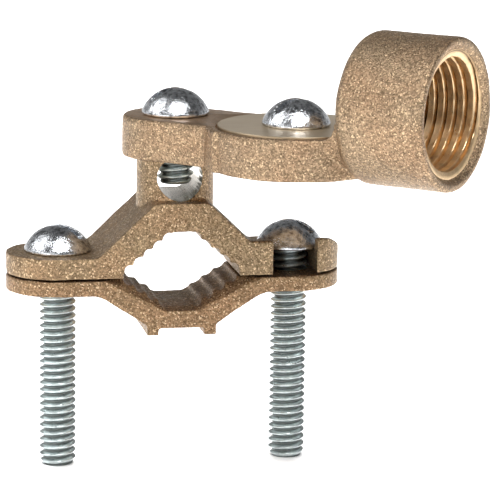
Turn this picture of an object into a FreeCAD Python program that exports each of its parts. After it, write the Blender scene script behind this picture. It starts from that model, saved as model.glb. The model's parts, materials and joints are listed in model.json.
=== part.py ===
import FreeCAD, Part
import math
import os
from FreeCAD import Vector

# Bronze ground clamp with a swivelling conduit hub.  Millimetres, +Z up.
# X runs along the ears of the jaws, Y along the gripped pipe.  The origin is
# the middle of the pipe seat: X = Y = 0 is the axis of the terminal boss and
# Z = 0 is the plane where the two jaws meet.

os.makedirs("parts", exist_ok=True)

X_AXIS = Vector(1, 0, 0)
Y_AXIS = Vector(0, 1, 0)
Z_AXIS = Vector(0, 0, 1)

# ---------------------------------------------------------------- the screws
# All four are 1/4-20 round-head slotted machine screws.
thread_radius = 3.175
thread_pitch = 1.27
thread_depth = 0.70
thread_crest_flat = 0.20
tip_chamfer = 0.60
head_radius = 5.85
head_height = 4.60
head_rim_height = 0.55
head_slot_width = 1.50
head_slot_depth = 2.00
clamp_screw_length = 38.10
wire_screw_length = 12.05
bond_screw_length = 7.00
thread_clearance = 0.08      # radial, shank to its tapped or drilled hole
left_slot_angle = 147.0      # directions of the driver slots, degrees from +X
right_slot_angle = 141.0
wire_slot_angle = 14.0
bond_slot_angle = 29.0

# ---------------------------------------------------------- both jaws, plan
jaw_depth = 17.0             # along the pipe
left_screw_x = -20.5
right_screw_x = 20.5
left_ear_reach = 29.5        # from the middle to the outer end of the ear
right_ear_reach = 29.1
jaw_gap = 0.30               # between the closed jaws
v_half_width = 10.1          # the pipe seat's mouth at the split, each side

# ------------------------------------------------------------- the upper jaw
ear_top = 3.75               # both screw heads sit at this level
lip_top = 6.20               # a lip along the right ear's front holds its screw head in
lip_depth = 2.15
lip_run = 5.3                # behind the lip's flat top its ends slope down to the ear
crown_half_width = 4.70
crown_top = 13.10
slope_deg = 43.5
left_foot_radius = 3.0
right_foot_radius = 0.6
crown_radius = 1.2
v_lip_top = 1.10
v_apex_half_width = 1.75
v_apex_top = 8.05
upper_teeth = 5
tooth_notch_radius = 1.05
tooth_notch_depth = 0.55
head_clearance = 0.50        # radial, screw head to the lip and slope round it on the right
spot_face_clearance = 0.25   # radial, screw head to the spot face on the left ear
slot_side_clearance = 0.775  # shank to each wall of the slot that lets the right screw out
slot_inboard = 0.55          # from the screw's axis to the slot's middle
boss_radius = 6.70
boss_top = 20.30
boss_root = 10.0             # the boss is buried in the crown from here
tenon_radius = 5.0           # the arm swivels on this
tenon_height = 3.0
wire_tip_clearance = 0.20    # the tapped hole runs on below the wire screw's tip
wire_hole_radius = 3.90
wire_hole_z = 17.10

# ------------------------------------------------------------- the lower jaw
lower_ear_thickness = 2.75
keel_half_width = 5.25
keel_bottom = -8.80
lower_slope_run = 8.95
lower_foot_radius = 4.0
trough_half_width = 1.90
trough_bottom = -5.30
lower_teeth = 4
bevel_depth = 2.30           # along the pipe, at each end of the seat
bevel_half_width = 14.0
bevel_trough_half_width = 3.0
bevel_trough_drop = 0.40
rib_x = 5.0
rib_width = 2.0
rib_drop = 1.25

# ----------------------------------------------------- the arm and its hub
arm_direction = -41.4        # resting direction of the arm, degrees from +X
arm_thickness = 7.17
arm_edge_rounding = 0.80
arm_end_radius = 9.20
arm_neck_half_width = 8.90
arm_neck_fillet = 2.5
tenon_clearance = 0.08
tenon_end_gap = 0.10
arm_screw_clearance = 0.25
bond_screw_distance = 24.1   # from the swivel axis
pad_radius = 14.9
hub_back = 37.6              # from the swivel axis to the hub's back wall
hub_length = 16.8
hub_radius = 12.9
hub_centre_z = 32.1
hub_back_rounding = 2.5
hub_mouth_rounding = 0.5
hub_thread_radius = 10.67    # 1/2 inch conduit thread, major radius
hub_mouth_chamfer = 1.0
hub_back_wall = 2.6
hub_wire_hole_radius = 4.35
web_radius = 11.8            # the hub's body carried on under the pad
web_start = 28.0
web_fillet = 3.0

# ----------------------------------------------------------------- the disc
disc_radius = 13.4
disc_thickness = 0.80
disc_seat_depth = 0.57      # the disc lies in a shallow seat cut in the pad
disc_hole_clearance = 0.25
disc_seat_clearance = 0.35

# Levels that follow from the sizes above.
upper_bottom = jaw_gap / 2
lower_top = -jaw_gap / 2
arm_bottom = boss_top
arm_top = arm_bottom + arm_thickness
disc_bottom = arm_top - disc_seat_depth
disc_top = disc_bottom + disc_thickness
ear_end_radius = jaw_depth / 2
shank_hole_radius = thread_radius + thread_clearance
slot_width = 2 * (thread_radius + slot_side_clearance)


# ------------------------------------------------------------------- helpers
def rounded_wire(points, to_vector):
    """Closed wire through (u, v, corner radius) points with tangent arcs."""
    flat = [Vector(u, v, 0) for u, v, r in points]
    edges = []
    ends = []
    count = len(points)
    for i in range(count):
        corner = flat[i]
        radius = points[i][2]
        back = (flat[i - 1] - corner).normalize()
        ahead = (flat[(i + 1) % count] - corner).normalize()
        if radius <= 0:
            ends.append((corner, None, corner))
            continue
        half = back.getAngle(ahead) / 2
        reach = radius / math.tan(half)
        bisector = (back + ahead).normalize()
        middle = corner + bisector * (radius / math.sin(half) - radius)
        ends.append((corner + back * reach, middle, corner + ahead * reach))
    for i in range(count):
        start, middle, stop = ends[i]
        if middle is not None:
            arc = Part.Arc(to_vector(start), to_vector(middle), to_vector(stop))
            edges.append(arc.toShape())
        following = ends[(i + 1) % count][0]
        if stop.distanceToPoint(following) > 1e-6:
            edges.append(Part.makeLine(to_vector(stop), to_vector(following)))
    return Part.Wire(edges)


def front_prism(points, depth):
    """Solid with the given X, Z outline, centred on Y = 0."""
    wire = rounded_wire(points, lambda p: Vector(p.x, -depth / 2, p.y))
    return Part.Face(wire).extrude(Vector(0, depth, 0))


def plan_prism(points, z0, z1):
    """Solid with the given X, Y outline between two levels."""
    wire = rounded_wire(points, lambda p: Vector(p.x, p.y, z0))
    return Part.Face(wire).extrude(Vector(0, 0, z1 - z0))


def upright(radius, z0, z1, x=0.0, y=0.0):
    """Cylinder along Z between two levels."""
    return Part.makeCylinder(radius, z1 - z0, Vector(x, y, z0), Z_AXIS)


def ear_plan(z0, z1):
    """The straight bar with two round ends that both jaws fill in plan."""
    left = -left_ear_reach + ear_end_radius
    right = right_ear_reach - ear_end_radius
    bar = Part.makeBox(right - left, jaw_depth, z1 - z0, Vector(left, -jaw_depth / 2, z0))
    ends = [upright(ear_end_radius, z0, z1, x) for x in (left, right)]
    return bar.fuse(ends).removeSplitter()


def tooth_notches(x0, z0, x1, z1, count, toward_opening):
    """Round notches along one side of a seat, from (x0, z0) to (x1, z1)."""
    run = Vector(x1 - x0, 0, z1 - z0)
    pitch = run.Length / count
    along = Vector(run).normalize()
    inward = Vector(-along.z, 0, along.x) * toward_opening
    lift = tooth_notch_radius - tooth_notch_depth
    notches = []
    for i in range(count):
        centre = Vector(x0, -jaw_depth, z0) + along * (pitch * (i + 0.5)) + inward * lift
        notches.append(Part.makeCylinder(tooth_notch_radius, 2 * jaw_depth, centre, Y_AXIS))
    return notches


# --------------------------------------------------------------- the castings
def upper_jaw():
    """Top casting: plain left ear, slotted and lipped right ear, V seat and wire boss."""
    slope = math.tan(math.radians(slope_deg))
    foot = crown_half_width + (crown_top - ear_top) / slope
    lip_start = crown_half_width + (crown_top - lip_top) / slope
    outline = [
        (-left_ear_reach, upper_bottom, 0.0),
        (-left_ear_reach, ear_top, 0.0),
        (-foot, ear_top, left_foot_radius),
        (-crown_half_width, crown_top, crown_radius),
        (crown_half_width, crown_top, crown_radius),
        (foot, ear_top, right_foot_radius),
        (right_ear_reach, ear_top, 0.0),
        (right_ear_reach, upper_bottom, 0.0),
        (v_half_width, upper_bottom, 0.0),
        (v_half_width, v_lip_top, 0.5),
        (v_apex_half_width, v_apex_top, 0.4),
        (-v_apex_half_width, v_apex_top, 0.4),
        (-v_half_width, v_lip_top, 0.5),
        (-v_half_width, upper_bottom, 0.0),
    ]
    front = -jaw_depth / 2
    lip_side = rounded_wire([
        (front, upper_bottom, 0.0),
        (front, lip_top, 0.0),
        (front + lip_depth, lip_top, 0.0),
        (front + lip_depth + lip_run, ear_top, 0.0),
        (front + lip_depth + lip_run, upper_bottom, 0.0),
    ], lambda p: Vector(lip_start, p.x, p.y))
    lip = Part.Face(lip_side).extrude(Vector(right_ear_reach - lip_start, 0, 0))
    body = front_prism(outline, jaw_depth).fuse(lip).common(ear_plan(upper_bottom, crown_top))
    notches = []
    for side in (-1, 1):
        notches += tooth_notches(side * v_half_width, v_lip_top, side * v_apex_half_width,
                                 v_apex_top, upper_teeth, side)
    body = body.cut(notches)
    boss = upright(boss_radius, boss_root, boss_top)
    tenon = upright(tenon_radius, boss_root, boss_top + tenon_height)
    body = body.fuse([boss, tenon])
    wire_hole = Part.makeCylinder(wire_hole_radius, 2 * jaw_depth,
                                  Vector(0, -jaw_depth, wire_hole_z), Y_AXIS)
    tapped_from = arm_top - wire_screw_length - wire_tip_clearance
    tapped_hole = upright(shank_hole_radius, tapped_from, boss_top + tenon_height + 1)
    left_hole = upright(shank_hole_radius, 0, ear_top + 1, left_screw_x)
    spot_face = upright(head_radius + spot_face_clearance, ear_top,
                        ear_top + head_height, left_screw_x)
    pocket = upright(head_radius + head_clearance, ear_top, ear_top + head_height, right_screw_x)
    slot_x = right_screw_x - slot_inboard
    slot_end = upright(slot_width / 2, 0, lip_top + 1, slot_x)
    slot = Part.makeBox(slot_width, jaw_depth, lip_top + 1,
                        Vector(slot_x - slot_width / 2, -jaw_depth, 0))
    cuts = [wire_hole, tapped_hole, left_hole, spot_face, pocket, slot_end, slot]
    return body.cut(cuts).removeSplitter()


def lower_jaw():
    """Bottom casting: thin ears, bevelled V trough, two ribs, tapped holes."""
    ear_bottom = lower_top - lower_ear_thickness
    foot = keel_half_width + lower_slope_run
    outline = [
        (-left_ear_reach, lower_top, 0.0),
        (-v_half_width, lower_top, 0.0),
        (-trough_half_width, trough_bottom, 0.4),
        (trough_half_width, trough_bottom, 0.4),
        (v_half_width, lower_top, 0.0),
        (right_ear_reach, lower_top, 0.0),
        (right_ear_reach, ear_bottom, 0.0),
        (foot, ear_bottom, lower_foot_radius),
        (keel_half_width, keel_bottom, 1.0),
        (-keel_half_width, keel_bottom, 1.0),
        (-foot, ear_bottom, lower_foot_radius),
        (-left_ear_reach, ear_bottom, 0.0),
    ]
    body = front_prism(outline, jaw_depth).common(ear_plan(keel_bottom, lower_top))
    ribs = []
    for side in (-1, 1):
        corner = Vector(side * rib_x - rib_width / 2, -jaw_depth / 2, keel_bottom - rib_drop)
        ribs.append(Part.makeBox(rib_width, jaw_depth, rib_drop + 1.0, corner))
    body = body.fuse(ribs)
    cuts = []
    for side in (-1, 1):
        cuts += tooth_notches(side * v_half_width, lower_top, side * trough_half_width,
                              trough_bottom, lower_teeth, -side)
        cuts.append(seat_bevel(side))
    for x in (left_screw_x, right_screw_x):
        cuts.append(upright(shank_hole_radius, ear_bottom - 1, lower_top + 1, x))
    return body.cut(cuts).removeSplitter()


def seat_bevel(side):
    """The wide bevel that opens the trough toward one end of the pipe."""
    above = lower_top + 1.0
    inner_y = side * (jaw_depth / 2 - bevel_depth)
    outer_y = side * (jaw_depth / 2)
    sections = []
    for y, half, trough_half, trough in (
            (inner_y, v_half_width, trough_half_width, trough_bottom),
            (outer_y, bevel_half_width, bevel_trough_half_width, trough_bottom - bevel_trough_drop)):
        points = [Vector(-half, y, above), Vector(-half, y, lower_top), Vector(-trough_half, y, trough),
                  Vector(trough_half, y, trough), Vector(half, y, lower_top), Vector(half, y, above)]
        sections.append(Part.makePolygon(points + points[:1]))
    return Part.makeLoft(sections, True, True)


def conduit_hub():
    """Swivel arm, round pad and threaded hub, cast as one piece along +X."""
    end = upright(arm_end_radius, arm_bottom, arm_top)
    pad = upright(pad_radius, arm_bottom, arm_top, bond_screw_distance)
    neck_end = bond_screw_distance - math.sqrt(pad_radius ** 2 - arm_neck_half_width ** 2)
    flare = arm_neck_fillet
    neck = plan_prism([
        (0, -arm_neck_half_width, 0.0),
        (neck_end, -arm_neck_half_width, flare),
        (neck_end, -pad_radius, 0.0),
        (bond_screw_distance, -pad_radius / 2, 0.0),
        (bond_screw_distance, pad_radius / 2, 0.0),
        (neck_end, pad_radius, 0.0),
        (neck_end, arm_neck_half_width, flare),
        (0, arm_neck_half_width, 0.0),
    ], arm_bottom, arm_top)
    neck = neck.common(upright(pad_radius + 0.6, arm_bottom, arm_top, bond_screw_distance).fuse(
        Part.makeBox(neck_end, 2 * arm_neck_half_width, arm_thickness,
                     Vector(0, -arm_neck_half_width, arm_bottom))))
    barrel = Part.makeCylinder(hub_radius, hub_length, Vector(hub_back, 0, hub_centre_z), X_AXIS)
    rounded = []
    for edge in barrel.Edges:
        if edge.Closed:
            at_back = edge.CenterOfMass.x < hub_back + hub_length / 2
            rounded.append((edge, hub_back_rounding if at_back else hub_mouth_rounding))
    for edge, radius in rounded:
        barrel = barrel.makeFillet(radius, [match_edge(barrel, edge)])
    web = Part.makeCylinder(web_radius, hub_back + hub_back_rounding + 1 - web_start,
                            Vector(web_start, 0, hub_centre_z), X_AXIS)
    below_top = Part.makeBox(hub_length + hub_back, 2 * web_radius, arm_thickness,
                             Vector(0, -web_radius, arm_bottom))
    web = web.common(below_top)
    arm = pad.fuse([end, neck, web]).removeSplitter()
    brim = [edge for edge in arm.Edges if abs(edge.BoundBox.ZMin - arm_top) < 1e-6
            and edge.CenterOfMass.x < hub_back]
    arm = arm.makeFillet(arm_edge_rounding, brim)
    body = arm.fuse([barrel, hub_gusset()])
    seat = upright(disc_radius + disc_seat_clearance, disc_bottom, arm_top + hub_radius,
                   bond_screw_distance)
    bore_length = hub_length - hub_back_wall
    mouth = hub_back + hub_length
    bore = Part.makeCylinder(hub_thread_radius, bore_length,
                             Vector(mouth - bore_length, 0, hub_centre_z), X_AXIS)
    chamfer = Part.makeCone(hub_thread_radius, hub_thread_radius + hub_mouth_chamfer,
                            hub_mouth_chamfer, Vector(mouth - hub_mouth_chamfer, 0, hub_centre_z),
                            X_AXIS)
    wire_hole = Part.makeCylinder(hub_wire_hole_radius, hub_length,
                                  Vector(hub_back - 1, 0, hub_centre_z), X_AXIS)
    socket = upright(tenon_radius + tenon_clearance, arm_bottom,
                     arm_bottom + tenon_height + tenon_end_gap)
    screw_hole = upright(thread_radius + arm_screw_clearance, arm_bottom, arm_top)
    tapped_hole = upright(shank_hole_radius, arm_bottom, arm_top, bond_screw_distance)
    body = body.cut([seat, bore, chamfer, wire_hole, socket, screw_hole, tapped_hole])
    body = body.removeSplitter()
    body.rotate(Vector(0, 0, 0), Z_AXIS, arm_direction)
    return body


def hub_gusset():
    """Concave fillet that carries the top of the pad up onto the hub's back."""
    reach = hub_back + hub_back_rounding
    wire = Part.Wire([
        Part.makeLine(Vector(hub_back - web_fillet, 0, arm_top), Vector(reach, 0, arm_top)),
        Part.makeLine(Vector(reach, 0, arm_top), Vector(reach, 0, arm_top + web_fillet)),
        Part.makeLine(Vector(reach, 0, arm_top + web_fillet), Vector(hub_back, 0, arm_top + web_fillet)),
        Part.Arc(Vector(hub_back, 0, arm_top + web_fillet),
                 Vector(hub_back - web_fillet * (1 - math.sqrt(0.5)), 0,
                        arm_top + web_fillet * (1 - math.sqrt(0.5))),
                 Vector(hub_back - web_fillet, 0, arm_top)).toShape(),
    ])
    slab = Part.Face(wire).extrude(Vector(0, 2 * web_radius, 0))
    slab.translate(Vector(0, -web_radius, 0))
    round_body = Part.makeCylinder(web_radius, 2 * hub_length,
                                   Vector(web_start, 0, hub_centre_z), X_AXIS)
    return slab.common(round_body)


def match_edge(shape, wanted):
    """The edge of a shape that lies where an edge of an earlier state did."""
    return min(shape.Edges, key=lambda e: e.CenterOfMass.distanceToPoint(wanted.CenterOfMass)
               + abs(e.Length - wanted.Length))


# ----------------------------------------------------------- screws and disc
def screw(length, seat_z, slot_angle, x=0.0, y=0.0):
    """Round-head slotted screw, seated at seat_z, thread shown as ring ridges."""
    root = thread_radius - thread_depth
    half_flank = (thread_pitch - 2 * thread_crest_flat) / 2
    points = [(0, -length), (thread_radius - tip_chamfer, -length), (thread_radius, -length + tip_chamfer)]
    level = -length + tip_chamfer + thread_crest_flat
    while level + thread_pitch < 0:
        points.append((thread_radius, level))
        points.append((root, level + half_flank))
        points.append((root, level + half_flank + thread_crest_flat))
        points.append((thread_radius, level + thread_pitch - thread_crest_flat))
        level += thread_pitch
    points.append((thread_radius, level))
    points.append((thread_radius, 0))
    points.append((head_radius, 0))
    points.append((head_radius, head_rim_height))
    vectors = [Vector(r, 0, z) for r, z in points]
    dome = head_height - head_rim_height
    sphere = (head_radius ** 2 + dome ** 2) / (2 * dome)
    half_way = math.asin(head_radius / sphere) / 2
    crown = Part.Arc(vectors[-1],
                     Vector(sphere * math.sin(half_way), 0,
                            head_height - sphere * (1 - math.cos(half_way))),
                     Vector(0, 0, head_height)).toShape()
    edges = [Part.makeLine(a, b) for a, b in zip(vectors, vectors[1:])]
    edges += [crown, Part.makeLine(Vector(0, 0, head_height), vectors[0])]
    body = Part.Face(Part.Wire(edges)).revolve(Vector(0, 0, 0), Z_AXIS, 360)
    slot = Part.makeBox(2 * head_radius + 2, head_slot_width, head_slot_depth + 1,
                        Vector(-head_radius - 1, -head_slot_width / 2, head_height - head_slot_depth))
    body = body.cut(slot)
    body.rotate(Vector(0, 0, 0), Z_AXIS, slot_angle)
    body.translate(Vector(x, y, seat_z))
    return body


def bond_disc():
    """Thin disc that the bond screw presses onto the wire and the pad."""
    x, y = bond_screw_place()
    disc = upright(disc_radius, disc_bottom, disc_top, x, y)
    hole = upright(thread_radius + disc_hole_clearance, disc_bottom - 1, disc_top + 1, x, y)
    return disc.cut(hole)


def bond_screw_place():
    """X and Y of the bond screw's axis at rest."""
    angle = math.radians(arm_direction)
    return bond_screw_distance * math.cos(angle), bond_screw_distance * math.sin(angle)


# --------------------------------------------------------------- all the parts
bond_x, bond_y = bond_screw_place()
parts = {
    "upper_jaw": upper_jaw(),
    "lower_jaw": lower_jaw(),
    "left_clamp_screw": screw(clamp_screw_length, ear_top, left_slot_angle, left_screw_x),
    "right_clamp_screw": screw(clamp_screw_length, ear_top, right_slot_angle, right_screw_x),
    "conduit_hub": conduit_hub(),
    "wire_screw": screw(wire_screw_length, arm_top, wire_slot_angle),
    "bond_washer": bond_disc(),
    "bond_screw": screw(bond_screw_length, disc_top, bond_slot_angle, bond_x, bond_y),
}
for name, shape in parts.items():
    solids = shape.Solids
    print(name, "solids", len(solids), "valid", shape.isValid(), "volume", round(shape.Volume, 1))
    if len(solids) == 1:
        shape = solids[0]
    shape.exportStep("parts/" + name + ".step")
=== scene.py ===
import json
import math
import bpy
import numpy as np
from mathutils import Matrix, Vector, noise


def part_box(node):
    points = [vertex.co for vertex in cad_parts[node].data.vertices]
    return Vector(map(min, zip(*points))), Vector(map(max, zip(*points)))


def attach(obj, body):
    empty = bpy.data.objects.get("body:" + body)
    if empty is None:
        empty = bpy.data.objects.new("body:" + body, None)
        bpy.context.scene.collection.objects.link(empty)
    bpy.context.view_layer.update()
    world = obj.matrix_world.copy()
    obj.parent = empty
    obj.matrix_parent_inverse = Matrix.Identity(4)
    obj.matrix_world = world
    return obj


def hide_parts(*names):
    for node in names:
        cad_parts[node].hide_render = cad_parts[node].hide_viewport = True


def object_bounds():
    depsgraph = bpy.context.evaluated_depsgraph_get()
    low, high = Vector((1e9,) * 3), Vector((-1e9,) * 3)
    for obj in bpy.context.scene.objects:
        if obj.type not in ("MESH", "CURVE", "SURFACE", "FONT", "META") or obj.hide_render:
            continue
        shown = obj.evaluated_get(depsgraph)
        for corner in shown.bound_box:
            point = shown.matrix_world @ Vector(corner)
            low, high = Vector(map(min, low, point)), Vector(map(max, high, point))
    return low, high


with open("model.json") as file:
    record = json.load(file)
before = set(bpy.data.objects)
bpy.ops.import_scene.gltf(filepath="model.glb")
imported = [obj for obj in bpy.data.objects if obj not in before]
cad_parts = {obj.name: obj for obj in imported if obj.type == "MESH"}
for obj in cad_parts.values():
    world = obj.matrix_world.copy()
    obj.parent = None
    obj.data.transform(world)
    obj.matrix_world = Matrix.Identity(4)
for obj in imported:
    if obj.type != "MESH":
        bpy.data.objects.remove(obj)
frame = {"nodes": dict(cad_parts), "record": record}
cad_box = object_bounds()

# ---------------------------------------------------------------- upper jaw
# A sand-cast bronze bar with a notched V for the pipe and a round boss on its
# crown.  Cast in a two-part sand mould, so its skin is grainy and its edges
# are soft; the wire hole through the boss is drilled afterwards.

MM = 0.001    # one millimetre in metres: pieces are made in millimetres, then dressed


def new_piece(name, mesh):
    """Puts a mesh in the scene as a piece of its own."""
    piece = bpy.data.objects.new(name, mesh)
    bpy.context.scene.collection.objects.link(piece)
    return piece


def settle(piece):
    """Turns a piece's modifiers into plain mesh."""
    graph = bpy.context.evaluated_depsgraph_get()
    mesh = bpy.data.meshes.new_from_object(piece.evaluated_get(graph))
    piece.modifiers.clear()
    piece.data = mesh


def as_cast(node, name, skin, cell=0.25, soften=5, seed=0.0):
    """The node's shape as it comes from the sand, with soft edges and a grainy skin."""
    mesh = frame["nodes"][node].data.copy()
    mesh.transform(Matrix.Scale(1 / MM, 4))
    mesh.materials.clear()
    casting = new_piece(name, mesh)
    sand = casting.modifiers.new("sand", "REMESH")
    sand.mode = "VOXEL"
    sand.voxel_size = cell
    soft = casting.modifiers.new("soft", "SMOOTH")
    soft.factor = 0.5
    soft.iterations = soften
    settle(casting)
    grain_size, lump_size = 0.55, 4.0
    grain_height, lump_height = 0.032, 0.08
    shift = Vector((seed, seed * 0.7, -seed))
    count = len(casting.data.vertices)
    places, normals = np.empty(count * 3, np.float32), np.empty(count * 3, np.float32)
    casting.data.vertices.foreach_get("co", places)
    casting.data.vertices.foreach_get("normal", normals)
    places, normals = places.reshape(-1, 3), normals.reshape(-1, 3)
    height = np.array([noise.noise(Vector(p) / grain_size + shift) * grain_height
                       + noise.noise(Vector(p) / lump_size + shift) * lump_height
                       for p in places])
    places += normals * height[:, None]
    casting.data.vertices.foreach_set("co", places.ravel())
    casting.data.update()
    casting.data.materials.append(skin)
    return casting


def turned(name, profile, steps=96, ring=False):
    """Mesh of revolution about Z through (radius, height) points.

    The profile ends on the axis, or ring joins its last point to its first.
    """
    angles = [2 * math.pi * i / steps for i in range(steps)]
    verts, rows = [], []
    for radius, height in profile:
        if radius == 0:
            rows.append([len(verts)] * steps)
            verts.append((0, 0, height))
        else:
            rows.append(list(range(len(verts), len(verts) + steps)))
            verts += [(radius * math.cos(a), radius * math.sin(a), height) for a in angles]
    faces = []
    pairs = list(zip(rows, rows[1:])) + ([(rows[-1], rows[0])] if ring else [])
    for low, high in pairs:
        for i in range(steps):
            j = (i + 1) % steps
            corners = [low[i], low[j], high[j], high[i]]
            faces.append(list(dict.fromkeys(corners)))    # a triangle where it meets the axis
    mesh = bpy.data.meshes.new(name)
    mesh.from_pydata(verts, [], faces)
    mesh.validate()
    return mesh


def rod(name, radius, start, stop, steps=96):
    """Round bar between two points, closed at both ends."""
    start, stop = Vector(start), Vector(stop)
    length = (stop - start).length
    mesh = turned(name, [(0, 0), (radius, 0), (radius, length), (0, length)], steps)
    turn = Vector((0, 0, 1)).rotation_difference(stop - start).to_matrix().to_4x4()
    mesh.transform(Matrix.Translation(start) @ turn)
    return mesh


def combine(piece, tool_mesh, finish, operation):
    """Cuts a tool shape out of a piece, or joins it on, keeping the tool's own finish."""
    tool_mesh.materials.clear()
    tool_mesh.materials.append(finish)
    tool = new_piece("tool", tool_mesh)
    step = piece.modifiers.new("step", "BOOLEAN")
    step.object = tool
    step.operation = operation
    step.solver = "MANIFOLD"
    step.material_mode = "TRANSFER"
    settle(piece)
    bpy.data.objects.remove(tool)


def dress(piece, sharp_deg=38):
    """Back to metres, smooth shading with crisp machined edges."""
    piece.data.transform(Matrix.Scale(MM, 4))
    piece.data.shade_smooth()
    piece.data.set_sharp_from_angle(angle=math.radians(sharp_deg))
    piece.data.update()


class Mix:
    """One material and the shader nodes wired up in it."""

    def __init__(self, name):
        self.material = bpy.data.materials.new(name)
        self.material.use_nodes = True
        self.tree = self.material.node_tree
        self.shader = self.tree.nodes["Principled BSDF"]
        self.place = self.add("ShaderNodeTexCoord").outputs["Object"]

    def add(self, kind, **settings):
        node = self.tree.nodes.new(kind)
        for key, value in settings.items():
            setattr(node, key, value)
        return node

    def link(self, source, target):
        self.tree.links.new(source, target)

    def scaled(self, per_mm):
        """Place on the piece, counted in features per millimetre."""
        node = self.add("ShaderNodeVectorMath", operation="SCALE")
        self.link(self.place, node.inputs[0])
        node.inputs["Scale"].default_value = per_mm / MM
        return node.outputs[0]

    def noise(self, per_mm, detail=2.0, rough=0.5):
        node = self.add("ShaderNodeTexNoise")
        self.link(self.scaled(per_mm), node.inputs["Vector"])
        node.inputs["Scale"].default_value = 1.0
        node.inputs["Detail"].default_value = detail
        node.inputs["Roughness"].default_value = rough
        return node.outputs["Fac"]

    def cells(self, per_mm, output="Color"):
        node = self.add("ShaderNodeTexVoronoi")
        self.link(self.scaled(per_mm), node.inputs["Vector"])
        node.inputs["Scale"].default_value = 1.0
        return node.outputs[output]

    def channels(self, colour):
        """A colour's three parts, used as three separate random values."""
        node = self.add("ShaderNodeSeparateColor")
        self.link(colour, node.inputs[0])
        return node.outputs

    def ramp(self, value, stops):
        """Colours or plain greys at positions along a value."""
        node = self.add("ShaderNodeValToRGB")
        self.link(value, node.inputs[0])
        bar = node.color_ramp
        while len(bar.elements) < len(stops):
            bar.elements.new(0.5)
        for element, (position, colour) in zip(bar.elements, stops):
            if isinstance(colour, float):
                colour = (colour, colour, colour)
            element.position = position
            element.color = (*colour, 1)
        return node.outputs["Color"]

    def blend(self, share, first, second, mode="MIX"):
        """Two colours mixed.  Inputs 6 and 7 are the node's colours, output 2 its result."""
        node = self.add("ShaderNodeMix", data_type="RGBA", blend_type=mode)
        sockets = node.inputs[0], node.inputs[6], node.inputs[7]
        for value, socket in zip((share, first, second), sockets):
            if isinstance(value, (int, float)):
                socket.default_value = value
            elif isinstance(value, tuple):
                socket.default_value = (*value, 1)
            else:
                self.link(value, socket)
        return node.outputs[2]

    def reckon(self, first, second, operation="ADD"):
        node = self.add("ShaderNodeMath", operation=operation)
        for value, socket in ((first, node.inputs[0]), (second, node.inputs[1])):
            if isinstance(value, (int, float)):
                socket.default_value = value
            else:
                self.link(value, socket)
        return node.outputs[0]

    def bump(self, height, depth_mm, strength=1.0):
        node = self.add("ShaderNodeBump")
        self.link(height, node.inputs["Height"])
        node.inputs["Distance"].default_value = depth_mm * MM
        node.inputs["Strength"].default_value = strength
        self.link(node.outputs[0], self.shader.inputs["Normal"])


def cast_bronze(name, warm, cool):
    """Sand-cast bronze: fine grains of many tones, bright facets, dark pits."""
    grains_per_mm = 4.4
    pit_colour, facet_colour, facet_rough = (0.06, 0.032, 0.016), (0.78, 0.58, 0.36), 0.27
    m = Mix(name)
    patches = m.ramp(m.noise(0.11, 3.0), [(0.35, warm), (0.65, cool)])
    grain = m.channels(m.cells(grains_per_mm))
    tone = m.ramp(grain[0], [(0.0, 0.50), (0.5, 0.93), (1.0, 1.42)])
    colour = m.blend(1.0, patches, tone, "MULTIPLY")
    cloud = m.ramp(m.noise(0.9, 4.0, 0.7), [(0.30, 0.80), (0.52, 1.0), (0.72, 1.15)])
    colour = m.blend(1.0, colour, cloud, "MULTIPLY")
    pits = m.ramp(m.noise(2.4, 3.0, 0.6), [(0.28, 0.9), (0.38, 0.0)])
    colour = m.blend(pits, colour, pit_colour)
    facets = m.ramp(grain[1], [(0.89, 0.0), (0.97, 0.8)])
    colour = m.blend(facets, colour, facet_colour)
    m.link(colour, m.shader.inputs["Base Color"])
    m.shader.inputs["Metallic"].default_value = 0.90
    rough = m.ramp(grain[2], [(0.0, 0.36), (1.0, 0.56)])
    m.link(m.blend(facets, rough, (facet_rough,) * 3), m.shader.inputs["Roughness"])
    domes = m.reckon(m.cells(grains_per_mm, "Distance"), -0.6, "MULTIPLY")
    m.bump(m.reckon(domes, m.noise(4.2, 3.0, 0.6)), 0.10)
    return m.material


def cut_bronze(name, colour, rough, ridges_per_mm=5.0, thread_shade=None):
    """Freshly cut bronze with the fine lines the tool leaves, and painted shade deep in a thread.
    """
    m = Mix(name)
    mottle = m.ramp(m.noise(0.8, 3.0), [(0.3, 0.82), (0.7, 1.12)])
    tone = m.blend(1.0, colour, mottle, "MULTIPLY")
    if thread_shade:
        # painted shade down in the thread roots, laid on by the root attribute
        root = m.add("ShaderNodeAttribute", attribute_name="root").outputs["Fac"]
        tone = m.blend(root, tone, thread_shade)
    m.link(tone, m.shader.inputs["Base Color"])
    m.shader.inputs["Metallic"].default_value = 1.0
    lines = m.noise(ridges_per_mm, 2.0)
    m.link(m.ramp(lines, [(0.3, rough * 0.8), (0.7, rough * 1.5)]), m.shader.inputs["Roughness"])
    m.bump(lines, 0.02, 0.5)
    return m.material


cast_skin = cast_bronze("cast_bronze_jaw", (0.285, 0.186, 0.105), (0.275, 0.195, 0.114))
drilled = cut_bronze("drilled_bronze", (0.80, 0.74, 0.65), rough=0.26)

jaw_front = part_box("upper_jaw")[0].y / MM
wire_hole_radius, wire_hole_height = 3.9, 17.1
drill_bite, drill_run_out = 0.06, 3    # into the hole's wall, and past the jaw's faces
upper_jaw = as_cast("upper_jaw", "upper_jaw_casting", cast_skin, seed=3.0)
wire_drill = rod("wire_drill", wire_hole_radius + drill_bite,
                 (0, jaw_front - drill_run_out, wire_hole_height),
                 (0, -jaw_front + drill_run_out, wire_hole_height))
combine(upper_jaw, wire_drill, drilled, "DIFFERENCE")
dress(upper_jaw)
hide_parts("upper_jaw")
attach(upper_jaw, "upper_jaw")

# ---------------------------------------------------------------- lower jaw
# The thinner casting below, in the same bronze, a shade redder.  Its trough
# is notched like the V above, and two small ribs stiffen its belly.

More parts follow.
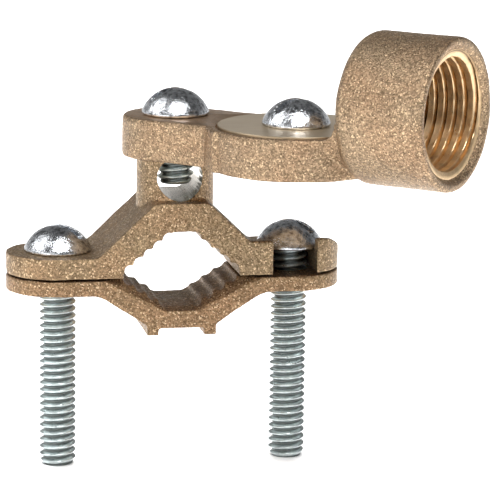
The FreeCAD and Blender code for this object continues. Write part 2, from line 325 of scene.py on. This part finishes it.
belly_skin = cast_bronze("cast_bronze_belly", (0.275, 0.168, 0.093), (0.265, 0.177, 0.099))
lower_jaw = as_cast("lower_jaw", "lower_jaw_casting", belly_skin, seed=11.0)
dress(lower_jaw)
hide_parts("lower_jaw")
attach(lower_jaw, "lower_jaw")

# ------------------------------------------------------------- clamp screws
# Two 1/4-20 round-head steel screws with a driver slot, rolled threads up to
# the head and bright zinc plating.  They hang in the upper jaw and draw the
# lower jaw up as they are turned.


def thread_radius_at(phase, outer, depth):
    """Radius of a rolled thread, phase 0 at the crest and 0.5 in the root."""
    crest_half, flank, roundness = 0.07, 0.33, 0.35
    away = abs(phase - round(phase))
    fall = min(1.0, max(0.0, (away - crest_half) / flank))
    rounded = fall * fall * (3 - 2 * fall)
    return outer - depth * (rounded * roundness + fall * (1 - roundness))


def threaded_rod(name, length, outer, depth, pitch, tip, top, steps=64, rows_per_turn=18):
    """Right-hand screw thread about Z from -length up to top, with a turned-down tip."""
    rows = int((length + top) / pitch * rows_per_turn)
    tip_cut = depth * 1.1
    verts, faces = [(0, 0, -length)], []
    for row in range(rows + 1):
        z = -length + (length + top) * row / rows
        from_tip = z + length
        limit = outer
        if from_tip <= tip:
            limit -= tip_cut * (1 - (from_tip / tip) ** 0.7)
        for i in range(steps):
            turn = i / steps
            radius = min(limit, thread_radius_at(z / pitch - turn, outer, depth))
            angle = 2 * math.pi * turn
            verts.append((radius * math.cos(angle), radius * math.sin(angle), z))
    verts.append((0, 0, top))
    for i in range(steps):
        j = (i + 1) % steps
        faces.append((0, 1 + j, 1 + i))
        for row in range(rows):
            a = 1 + row * steps
            faces.append((a + i, a + j, a + steps + j, a + steps + i))
        a = 1 + rows * steps
        faces.append((a + i, a + j, len(verts) - 1))
    mesh = bpy.data.meshes.new(name)
    mesh.from_pydata(verts, [], faces)
    return mesh


def zinc(name, colour, rough, mottle_per_mm, blotch):
    """Bright zinc plate: bluish, blotched, with fine scuffs, and painted shade down in the thread
    roots.
    """
    # dark colour laid into the thread roots by depth: painted shade
    painted_root_shade = (0.13, 0.145, 0.14)
    m = Mix(name)
    cloud = m.noise(mottle_per_mm, 4.0, 0.65)
    shade = m.ramp(cloud, [(0.34, 0.80 - 0.55 * blotch), (0.50, 0.95), (0.64, 1.20)])
    plate = m.blend(1.0, colour, shade, "MULTIPLY")
    root = m.add("ShaderNodeAttribute", attribute_name="root").outputs["Fac"]
    m.link(m.blend(root, plate, painted_root_shade), m.shader.inputs["Base Color"])
    m.shader.inputs["Metallic"].default_value = 1.0
    scuff = m.noise(mottle_per_mm * 3.1, 3.0, 0.7)
    m.link(m.ramp(scuff, [(0.3, rough * 0.7), (0.7, rough * 1.6)]), m.shader.inputs["Roughness"])
    relief = m.reckon(cloud, m.reckon(scuff, 0.45, "MULTIPLY"))
    m.bump(relief, 0.10 + 0.10 * blotch, 0.6)
    return m.material


head_zinc = zinc("zinc_head", (0.72, 0.74, 0.77), rough=0.16, mottle_per_mm=1.1, blotch=0.9)
thread_zinc = zinc("zinc_thread", (0.60, 0.66, 0.66), rough=0.32, mottle_per_mm=0.6,
                   blotch=0.1)
pitch, thread_outer, thread_depth = 1.27, 3.175, 0.68
head_radius, head_height, rim_height = 5.85, 4.6, 0.55
slot_width, slot_depth = 1.5, 2.0


def round_head(name, finish):
    """Domed head with a driver slot, its edges softened by plating."""
    dome = head_height - rim_height
    sphere = (head_radius ** 2 + dome ** 2) / (2 * dome)
    under_bevel, bevel_height, dome_steps = 0.25, 0.22, 16
    profile = [(0, 0), (head_radius - under_bevel, 0), (head_radius, bevel_height),
               (head_radius, rim_height)]
    sweep = math.asin(head_radius / sphere)
    for i in range(1, dome_steps):
        a = sweep * (1 - i / dome_steps)
        profile.append((sphere * math.sin(a), head_height - sphere * (1 - math.cos(a))))
    profile.append((0, head_height))
    head = new_piece(name, turned(name, profile, steps=72))
    slot = turned("slot", [(0, 0), (1, 0), (1, 1), (0, 1)], steps=4)
    slot.transform(Matrix.Rotation(math.radians(45), 4, "Z"))
    cutter_length, cutter_height = 20, 6
    side = math.sqrt(2)    # the four-sided bar's, at radius 1
    slot.transform(Matrix.Diagonal((cutter_length / side, slot_width / side, cutter_height, 1)))
    slot.transform(Matrix.Translation((0, 0, head_height - slot_depth)))
    combine(head, slot, finish, "DIFFERENCE")
    plate = head.modifiers.new("plate", "REMESH")
    plate.mode = "VOXEL"
    plate.voxel_size = 0.11
    soft = head.modifiers.new("soft", "SMOOTH")
    soft.factor = 0.5
    soft.iterations = 3
    settle(head)
    head.data.materials.clear()
    head.data.materials.append(finish)
    return head


def shade_roots(screw):
    """Stores how deep in the thread each point lies, 0 at the crest and 1 in the root."""
    count = len(screw.data.vertices)
    places = np.empty(count * 3, np.float32)
    screw.data.vertices.foreach_get("co", places)
    x, y, z = places.reshape(-1, 3).T
    depth = (thread_outer - np.hypot(x, y)) / thread_depth
    # Painted shade in the thread roots: it starts halfway down the thread, on the shank only.
    shade_from, past_root = 0.50, 1.3    # shares of the thread's depth
    share = np.clip((depth - shade_from) / (1 - shade_from), 0, 1)
    root = np.where((z < 0) & (depth < past_root), share, 0)
    mark = screw.data.attributes.new("root", "FLOAT", "POINT")
    mark.data.foreach_set("value", root.astype(np.float32))


def machine_screw(name, node, length, slot_deg, phase_deg=0.0):
    """Whole screw at its node's place: head seated on the casting, thread below.

    slot_deg is the driver slot's direction, and phase_deg where the thread starts.
    """
    lowest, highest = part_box(node)
    centre = (lowest + highest) / 2 / MM
    seat = highest.z / MM - head_height
    screw = round_head(name, head_zinc)
    screw.data.transform(Matrix.Rotation(math.radians(slot_deg - phase_deg), 4, "Z"))
    tip_length, into_head = 1.3, 0.4
    thread = threaded_rod("thread", length, thread_outer, thread_depth, pitch, tip_length,
                          into_head)
    combine(screw, thread, thread_zinc, "UNION")
    screw.data.transform(Matrix.Rotation(math.radians(phase_deg), 4, "Z"))
    shade_roots(screw)
    screw.data.transform(Matrix.Translation((centre.x, centre.y, seat)))
    dress(screw, sharp_deg=50)
    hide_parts(node)
    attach(screw, node)


clamp_screw_length = 38.1
machine_screw("left_clamp_screw_steel", "left_clamp_screw", clamp_screw_length, slot_deg=147)
machine_screw("right_clamp_screw_steel", "right_clamp_screw", clamp_screw_length,
              slot_deg=141, phase_deg=70)

# -------------------------------------------------------------- conduit hub
# Arm, pad and conduit hub cast in one piece of the same bronze.  The arm is
# faced off under its screw and the pad cut to seat the disc, and the hub is
# bored and tapped from its mouth with a tapered conduit thread.

hub_mount = next(m for m in frame["record"]["mounts"] if m["name"] == "conduit_thread")
hub_axis = Vector(hub_mount["axis"]).normalized()
hub_middle = Vector(hub_mount["pos_m"]) / MM
thread_length = hub_mount["dims"]["length_mm"]
bore_radius = hub_mount["dims"]["r_mm"]
thread_root = bore_radius - 0.05
hub_thread_depth, hub_pitch = 1.05, 1.814
taper = 1 / 32              # of the radius along the thread
sleeve_wall = 0.6           # sunk into the casting, so that sleeve and casting join
sleeve_stand_out = 0.1      # past each end of the bore


def tapped_sleeve(name, outer, root, depth, pitch, length, taper, steps=128, rows_per_turn=16):
    """Sleeve about Z with a right-hand thread on its inside, narrowing downward."""
    crest_half, flank = 0.04, 0.46
    run_out, end_share = 0.5, 0.3    # the thread starts shallow at the mouth
    rows = int(length / pitch * rows_per_turn)
    inner, verts, faces = [], [], []
    for row in range(rows + 1):
        z = length * row / rows
        inner.append(len(verts))
        for i in range(steps):
            turn = i / steps
            away = abs((z / pitch - turn) - round(z / pitch - turn)) * 2
            height = min(1.0, max(0.0, (away - crest_half) / flank))
            height = height * (2 - height)
            fade = min(1.0, (length - z) / run_out + end_share)
            radius = root - (length - z) * taper - depth * height * fade
            angle = 2 * math.pi * turn
            verts.append((radius * math.cos(angle), radius * math.sin(angle), z))
    outside = []
    angles = [2 * math.pi * i / steps for i in range(steps)]
    for z in (0, length):
        outside.append(len(verts))
        verts += [(outer * math.cos(a), outer * math.sin(a), z) for a in angles]
    for i in range(steps):
        j = (i + 1) % steps
        for a, b in zip(inner, inner[1:]):
            faces.append((a + i, b + i, b + j, a + j))
        faces.append((outside[0] + i, outside[0] + j, outside[1] + j, outside[1] + i))
        faces.append((inner[0] + i, inner[0] + j, outside[0] + j, outside[0] + i))
        faces.append((inner[-1] + j, inner[-1] + i, outside[1] + i, outside[1] + j))
    mesh = bpy.data.meshes.new(name)
    mesh.from_pydata(verts, [], faces)
    return mesh


hub_skin = cast_bronze("cast_bronze_hub", (0.335, 0.222, 0.134), (0.33, 0.238, 0.150))
# the tapped thread's roots are darkened with painted shade
tapped = cut_bronze("tapped_bronze", (0.80, 0.58, 0.34), rough=0.34, ridges_per_mm=2.5,
                    thread_shade=(0.10, 0.055, 0.025))
conduit_hub = as_cast("conduit_hub", "conduit_hub_casting", hub_skin, seed=23.0)
sleeve = tapped_sleeve("hub_thread", bore_radius + sleeve_wall, thread_root, hub_thread_depth,
                       hub_pitch, thread_length + 2 * sleeve_stand_out, taper)
sleeve.transform(Matrix.Translation((0, 0, -thread_length / 2 - sleeve_stand_out)))
sleeve.transform(Vector((0, 0, 1)).rotation_difference(hub_axis).to_matrix().to_4x4())
sleeve.transform(Matrix.Translation(hub_middle))
combine(conduit_hub, sleeve, tapped, "UNION")
# Deep points of the tapped thread get the root attribute, which paints shade into the thread
# roots.
points = np.empty(len(conduit_hub.data.vertices) * 3, np.float32)
conduit_hub.data.vertices.foreach_get("co", points)
offset = points.reshape(-1, 3) - np.array(hub_middle)
along = offset @ np.array(hub_axis)
from_axis = np.linalg.norm(offset - along[:, None] * np.array(hub_axis), axis=1)
past_wall, past_end = 0.02, 0.15    # how far out a point still counts as in the bore
in_bore = ((from_axis < bore_radius + past_wall)
           & (np.abs(along) < thread_length / 2 + past_end))
root_here = thread_root - (thread_length / 2 - along) * taper
thread_shade_depth = 0.35          # how far up from the root the painted shade reaches
deep_share = np.where(in_bore, np.clip(1 - (root_here - from_axis) / thread_shade_depth, 0, 1), 0)
conduit_hub.data.attributes.new("root", "FLOAT", "POINT").data.foreach_set(
    "value", deep_share.astype(np.float32))
faced = cut_bronze("faced_bronze", (0.52, 0.355, 0.225), rough=0.38, ridges_per_mm=3.0)
arm_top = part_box("wire_screw")[1].z / MM - head_height
facing_radius, facing_bite, facing_reach = 15.0, 0.05, 3
facing = rod("facing", facing_radius, (0, 0, arm_top - facing_bite),
             (0, 0, arm_top + facing_reach))
combine(conduit_hub, facing, faced, "DIFFERENCE")
disc_low, disc_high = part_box("bond_washer")
disc_middle = (disc_low + disc_high) / 2 / MM
disc_bottom = disc_low.z / MM
disc_clearance, seat_bite, seat_reach = 0.33, 0.02, 12
seat_radius = (disc_high.x - disc_low.x) / 2 / MM + disc_clearance
spot_face = rod("spot_face", seat_radius,
                (disc_middle.x, disc_middle.y, disc_bottom - seat_bite),
                (disc_middle.x, disc_middle.y, disc_bottom + seat_reach), steps=160)
combine(conduit_hub, spot_face, faced, "DIFFERENCE")
dress(conduit_hub)
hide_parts("conduit_hub")
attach(conduit_hub, "conduit_hub")

# --------------------------------------------------------------- wire screw
# The same slotted screw, short: it holds the arm down on the boss and its
# tip pinches the ground wire in the hole below.

machine_screw("wire_screw_steel", "wire_screw", length=12.05, slot_deg=14, phase_deg=40)

# --------------------------------------------------------------- bond washer
# A thin disc punched from rolled brass, lying loose in its shallow seat on
# the pad, under the bond screw.  Smooth and dull, with a faint rolling grain
# and its rim just broken.


def rolled_brass(name):
    """Dull sheet brass with a fine grain drawn out along the way it was rolled."""
    rolled_deg, along_roll, across_roll = 30, 300, 6000    # features per metre
    m = Mix(name)
    wash = m.ramp(m.noise(0.13, 2.0), [(0.3, (0.50, 0.395, 0.265)), (0.7, (0.56, 0.455, 0.315))])
    m.link(wash, m.shader.inputs["Base Color"])
    m.shader.inputs["Metallic"].default_value = 0.9
    stretch = m.add("ShaderNodeMapping")
    m.link(m.place, stretch.inputs["Vector"])
    stretch.inputs["Rotation"].default_value = (0, 0, math.radians(rolled_deg))
    stretch.inputs["Scale"].default_value = (along_roll, across_roll, along_roll)
    grain = m.add("ShaderNodeTexNoise")
    m.link(stretch.outputs[0], grain.inputs["Vector"])
    grain.inputs["Scale"].default_value = 1.0
    m.link(m.ramp(grain.outputs["Fac"], [(0.3, 0.30), (0.7, 0.42)]), m.shader.inputs["Roughness"])
    m.bump(grain.outputs["Fac"], 0.01, 0.4)
    return m.material


low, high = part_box("bond_washer")
washer_centre = (low + high) / 2 / MM
washer_radius = (high.x - low.x) / 2 / MM
thickness = (high.z - low.z) / MM
edge, hole = 0.12, 3.43
washer_profile = [(hole, edge), (hole + edge, 0), (washer_radius - edge, 0),
                  (washer_radius, edge), (washer_radius, thickness - edge),
                  (washer_radius - edge, thickness), (hole + edge, thickness),
                  (hole, thickness - edge)]
blank = turned("bond_washer_brass", washer_profile, steps=160, ring=True)
bond_washer = new_piece("bond_washer_brass", blank)
bond_washer.data.materials.append(rolled_brass("rolled_brass"))
bond_washer.data.transform(Matrix.Translation((washer_centre.x, washer_centre.y, low.z / MM)))
dress(bond_washer)
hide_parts("bond_washer")
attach(bond_washer, "bond_washer")

# --------------------------------------------------------------- bond screw
# The fourth slotted screw, through the disc into the pad: it clamps the
# ground wire between disc and pad, which bonds the wire to the conduit.

machine_screw("bond_screw_steel", "bond_screw", length=7.0, slot_deg=29, phase_deg=10)

# ------------------------------------------------------------- studio stage
# A plain pale floor under the tips of the screws, soft light from large
# panels, and a long lens a little above the clamp and to its left.

floor_reach = 3.0
floor_z = cad_box[0][2]
corners = [(x * floor_reach, y * floor_reach, floor_z)
           for x, y in ((-1, -1), (1, -1), (1, 1), (-1, 1))]
floor_mesh = bpy.data.meshes.new("floor")
floor_mesh.from_pydata(corners, [], [(0, 1, 2, 3)])
floor = new_piece("floor", floor_mesh)
paint = Mix("floor_paint")
pale = paint.ramp(paint.noise(0.002, 2.0), [(0.3, 0.93), (0.7, 0.96)])
paint.link(pale, paint.shader.inputs["Base Color"])
paint.shader.inputs["Roughness"].default_value = 0.9
paint.shader.inputs["Specular IOR Level"].default_value = 0.1
floor.data.materials.append(paint.material)

world = bpy.data.worlds.new("studio")
bpy.context.scene.world = world
world.use_nodes = True
sky = world.node_tree
direction = sky.nodes.new("ShaderNodeTexCoord")
parts = sky.nodes.new("ShaderNodeSeparateXYZ")
walls = sky.nodes.new("ShaderNodeValToRGB")
sky.links.new(direction.outputs["Generated"], parts.inputs[0])
sky.links.new(parts.outputs["Z"], walls.inputs[0])
for height in (0.14, 0.34):
    walls.color_ramp.elements.new(height)
for element, grey in zip(walls.color_ramp.elements, (0.95, 0.55, 0.16, 0.12)):
    element.color = (grey, grey, grey, 1)
front_shade = sky.nodes.new("ShaderNodeMapRange")
sky.links.new(parts.outputs["Y"], front_shade.inputs["Value"])
for end, value in (("From Min", -0.6), ("From Max", 0.4), ("To Min", 0.45), ("To Max", 1.0)):
    front_shade.inputs[end].default_value = value
sky.links.new(walls.outputs[0], sky.nodes["Background"].inputs["Color"])
sky.links.new(front_shade.outputs[0], sky.nodes["Background"].inputs["Strength"])


def light_panel(name, place, size, power, aim=(0, 0, 0)):
    """Soft rectangular light, its size and place in metres and its power in watts."""
    lamp = bpy.data.lights.new(name, "AREA")
    lamp.shape = "RECTANGLE"
    lamp.size, lamp.size_y = size
    lamp.energy = power
    panel = bpy.data.objects.new(name, lamp)
    bpy.context.scene.collection.objects.link(panel)
    panel.location = place
    panel.rotation_euler = (Vector(aim) - Vector(place)).to_track_quat("-Z", "Y").to_euler()
    return panel


light_panel("key", (0.035, -0.40, 0.573), size=(0.28, 0.28), power=4.0)
light_panel("low left", (-0.50, -0.45, 0.10), size=(0.45, 0.25), power=1.0)
light_panel("upper left", (-0.55, 0.05, 0.50), size=(0.4, 0.4), power=2.2)
overhead = light_panel("overhead", (0.05, 0.40, 0.75), size=(0.9, 0.7), power=16.0,
                       aim=(0.05, 0.25, -0.03))
overhead.visible_glossy = False    # lights the floor without a glare in the metal

lens_mm, sensor_mm = 219.3, 36.0
azimuth, elevation, roll = math.radians(-11.04), math.radians(11.44), math.radians(0.79)
distance, aim_right, aim_up = 0.5327, 0.01325, 0.00348
aim = Vector((aim_right * math.cos(azimuth), aim_right * math.sin(azimuth), aim_up))
back = Vector((math.sin(azimuth) * math.cos(elevation),
               -math.cos(azimuth) * math.cos(elevation), math.sin(elevation)))
level_right = Vector((math.cos(azimuth), math.sin(azimuth), 0))
level_up = back.cross(level_right)
right = math.cos(roll) * level_right + math.sin(roll) * level_up
up = math.cos(roll) * level_up - math.sin(roll) * level_right
lens = bpy.data.cameras.new("camera")
lens.lens = lens_mm
lens.sensor_width = sensor_mm
camera = bpy.data.objects.new("camera", lens)
bpy.context.scene.collection.objects.link(camera)
turn = Matrix((right, up, back)).transposed().to_4x4()
camera.matrix_world = Matrix.Translation(aim + back * distance) @ turn
bpy.context.scene.camera = camera
bpy.context.scene.view_settings.view_transform = "Standard"
